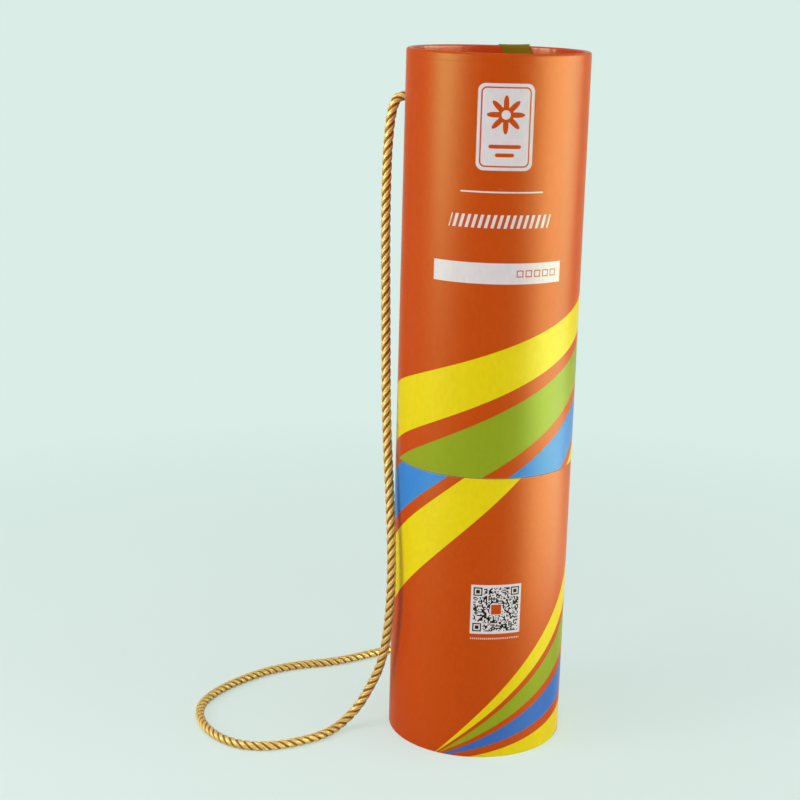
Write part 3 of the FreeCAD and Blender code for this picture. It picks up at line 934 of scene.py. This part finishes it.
def make_laid_rope(name, line, material):
    """Three strands laid right-handed round a line."""
    line, along = even_line(line, RING_STEP)
    vertices, faces, depths, threads = [], [], [], []
    for strand in range(STRANDS):
        rings, depth, thread = strand_rings(line, along, strand)
        faces += closed_tube_faces(len(rings), len(vertices))
        vertices += [tuple(point) for point in rings.reshape(-1, 3)]
        depths.append(depth)
        threads.append(thread.ravel())
    piece = new_piece(name, vertices, faces, [material], sharp_angle=ROPE_SHARP_ANGLE)
    depth_layer = piece.data.attributes.new("depth", "FLOAT", "POINT")
    depth_layer.data.foreach_set("value", np.concatenate(depths).astype(np.float32))
    thread_layer = piece.data.attributes.new("thread", "FLOAT_VECTOR", "POINT")
    thread_layer.data.foreach_set("vector", np.concatenate(threads).astype(np.float32))
    return piece


# A stop knot: its turns, its widest radius, and how far in from the rope's end its coil and its tail reach.
KNOT_TURNS = 2.2
KNOT_RADIUS = 0.0042
COIL_START, COIL_END, COIL_POINTS = 0.001, 0.0115, 120
TAIL_START, TAIL_END, TAIL_POINTS = 0.0125, 0.018, 6


def knot_line(start, inward, sideways):
    """Line of a stop knot: the rope winds into a barrel and its tail comes out of the middle."""
    start, inward, sideways = (np.array(vector, float) for vector in (start, inward, sideways))
    other = np.cross(inward, sideways)
    share = np.linspace(0, 1, COIL_POINTS)[:, None]
    angle = 2 * math.pi * KNOT_TURNS * share
    outward = sideways * np.cos(angle) + other * np.sin(angle)
    radius = KNOT_RADIUS * np.sin(math.pi * share) ** 0.5
    coil = start + inward * (COIL_START + (COIL_END - COIL_START) * share) + outward * radius
    tail = start + inward * np.linspace(TAIL_START, TAIL_END, TAIL_POINTS)[:, None]
    return np.concatenate([coil, tail])


# ---------- Stage and light ----------

FLOOR_SIZE = 60.0
SHADOW_REACH = 0.25, 0.7    # distances from the box where the floor's shadows begin to fade and are gone
SHADOW_SHARE = 0.38         # how much of the floor near the box is lit by the lamps, and so holds shadows
ROOM_LIGHT = 0.38           # strength of the plain white light from all round


def seen_directly(graph):
    """1 for camera, glossy and transmission rays, which see the background's own colour."""
    path = graph.add("LightPath").outputs
    seen = graph.math("MAXIMUM", path["Is Camera Ray"], path["Is Glossy Ray"])
    return graph.math("MAXIMUM", seen, path["Is Transmission Ray"])


def make_floor():
    """A plain pale floor that shows the background's colour and, near the box, soft shadows."""
    material = bpy.data.materials.new("floor")
    material.use_nodes = True
    graph = Graph(material.node_tree)
    matt = graph.add("BsdfDiffuse", {"Color": FLOOR_PAINT})
    glow = graph.add("Emission", {"Color": BACKGROUND})
    place = graph.add("TexCoord").outputs["Object"]
    distance = graph.add("VectorMath", {0: place}, operation="LENGTH").outputs["Value"]
    fade = graph.ramp(distance, *SHADOW_REACH, 1 - SHADOW_SHARE, 1.0)
    share = graph.math("MULTIPLY", seen_directly(graph), fade)
    mixed = graph.add("MixShader", {0: share, 1: matt.outputs[0], 2: glow.outputs[0]})
    graph.add("OutputMaterial", {0: mixed.outputs[0]})
    half = FLOOR_SIZE / 2
    corners = [(-half, -half, 0), (half, -half, 0), (half, half, 0), (-half, half, 0)]
    floor = new_piece("floor", corners, [(0, 1, 2, 3)], [material])


def make_world():
    """The background's colour to the eye and in gloss, and plain white light for the rest."""
    world = bpy.data.worlds.new("studio")
    bpy.context.scene.world = world
    world.use_nodes = True
    graph = Graph(world.node_tree)
    dim = graph.add("Background", {"Color": (1.0, 1.0, 1.0, 1.0), "Strength": ROOM_LIGHT})
    seen = graph.add("Background", {"Color": BACKGROUND, "Strength": 1.0})
    mixed = graph.add("MixShader", {0: seen_directly(graph), 1: dim.outputs[0], 2: seen.outputs[0]})
    graph.add("OutputWorld", {0: mixed.outputs[0]})


LAMP_TARGET = Vector((0, 0, 0.2))
SHEEN_COLOUR = (0.81, 1.0, 0.58)        # of the lamps that give only a sheen

# Name, azimuth, distance, height, width, length, watts, and whether it gives only a sheen.
SOFTBOXES = [
    ("softbox_top", 0, 0.3, 1.3, 1.2, 1.2, 3.8, False),
    ("softbox_left", -62, 0.8, 0.42, 0.4, 0.75, 3.0, False),
    ("softbox_right", 78, 0.8, 0.16, 0.6, 0.7, 3.7, False),
    ("strip_left", -64, 0.8, 0.46, 0.4, 0.56, 18.5, True),
    ("strip_right", 86.5, 0.8, 0.36, 1.15, 0.85, 53.0, True),
    ("card_right", 95, 0.27, 0.08, 0.35, 0.15, 1.6, True),
]


def make_softbox(name, azimuth, distance, height, width, length, power, sheen_only):
    """A rectangular lamp that faces the box and isn't seen itself."""
    lamp = bpy.data.lights.new(name, "AREA")
    lamp.shape = "RECTANGLE"
    lamp.size = width
    lamp.size_y = length
    lamp.energy = power
    if sheen_only:
        lamp.color = SHEEN_COLOUR
    softbox = bpy.data.objects.new(name, lamp)
    softbox.visible_diffuse = not sheen_only
    softbox.visible_camera = False
    angle = math.radians(azimuth)
    place = Vector((distance * math.sin(angle), -distance * math.cos(angle), height))
    aim = (LAMP_TARGET - place).to_track_quat("-Z", "Y")
    softbox.matrix_world = Matrix.Translation(place) @ aim.to_matrix().to_4x4()
    bpy.context.scene.collection.objects.link(softbox)


# ---------- The scene ----------


def dress_rope():
    gold = make_gold_thread()
    rope = make_laid_rope("rope", read_spline(ROPE_ROUTE), gold)
    lid_knot = make_laid_rope("lid_stop_knot", knot_line(ROPE_ROUTE[0], (1, 0, 0), (0, 1, 0)), gold)
    base_knot = make_laid_rope("base_stop_knot", knot_line(ROPE_ROUTE[-1], (0, -1, 0), (1, 0, 0)), gold)
    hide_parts("rope_hanging", "rope_floor")
    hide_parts("lid_knot")
    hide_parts("base_knot")
    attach(lid_knot, "lid")
    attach(base_knot, "base")
    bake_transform(rope)
    even_line(read_spline(ROPE_ROUTE), 0.002)[0]


def dress_tubes(turned_in, board):
    ribbons = make_ribbon_group()
    lid_print = make_print("lid_print", ribbons, LID_TURN, paint_lid_marks)
    base_print = make_print("base_print", ribbons, 0.0, paint_base_marks)
    lid_tube = make_lid_tube([lid_print, turned_in, board])
    base_tube = make_base_tube([base_print, turned_in, board])
    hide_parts("lid_tube")
    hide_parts("base_tube")
    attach(lid_tube, "lid")
    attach(base_tube, "base")


def dress_rim_tab():
    rim_tab = make_rim_tab(make_shaded_green_paper(), make_cut_edge())
    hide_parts("rim_tab")
    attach(rim_tab, "lid")


def paint_cad_nodes(turned_in, board):
    """Materials for the nodes that the scene shows as the CAD made them."""
    for name, material in (("neck_tube", board), ("base_end_disc", turned_in), ("lid_end_disc", turned_in)):
        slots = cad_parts[name].data.materials
        slots.clear()
        slots.append(material)


def main():
    bpy.context.scene.view_settings.view_transform = "Standard"
    make_camera()
    make_world()
    make_floor()
    for softbox in SOFTBOXES:
        make_softbox(*softbox)

    turned_in = make_turned_in_paper()
    board = make_board()
    dress_rope()
    dress_tubes(turned_in, board)
    dress_rim_tab()
    paint_cad_nodes(turned_in, board)


main()
